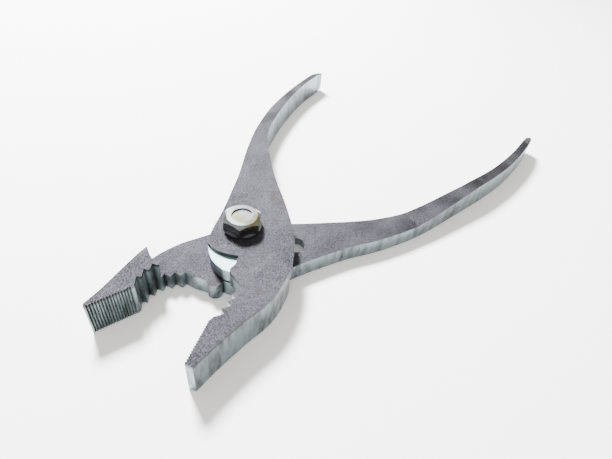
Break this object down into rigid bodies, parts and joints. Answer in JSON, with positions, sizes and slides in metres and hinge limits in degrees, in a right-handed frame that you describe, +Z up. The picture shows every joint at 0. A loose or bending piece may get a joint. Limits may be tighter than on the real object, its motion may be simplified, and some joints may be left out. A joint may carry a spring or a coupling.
{
  "type": "slip-joint pliers",
  "caption": "Adjustable slip-joint pliers opened wide, with serrated jaws, pipe grip, slotted pivot and plain curved steel handles.",
  "frame": {"origin": "pivot axis on the plane that the pliers lie on", "axes": "+Z up along the pivot axis towards the nut; the jaws point along -Y and the handles along +Y, with the opening halved by the YZ plane"},
  "size_m": [0.1012, 0.1701, 0.0152],
  "materials": {
    "lever_steel": "zinc-plated forging, grit-blasted faces",
    "fastener_zinc": "bright zinc plate"
  },
  "bodies": {
    "upper": {"upper_lever": "lever_steel", "pivot_bolt": "fastener_zinc", "hex_nut": "fastener_zinc"},
    "turning_washer": {"washer": "fastener_zinc"},
    "lower": {"lower_lever": "lever_steel"}
  },
  "joints": [
    {"name": "pivot", "type": "hinge", "parent": "upper", "child": "turning_washer", "pos_m": [0, 0, 0.011], "axis": [0, 0, 1], "range_deg": [0, 37.2]},
    {"name": "slip", "type": "slide", "parent": "turning_washer", "child": "lower", "axis": [-0.8352, -0.5499, 0], "range_m": [0, 0.0156]}
  ]
}
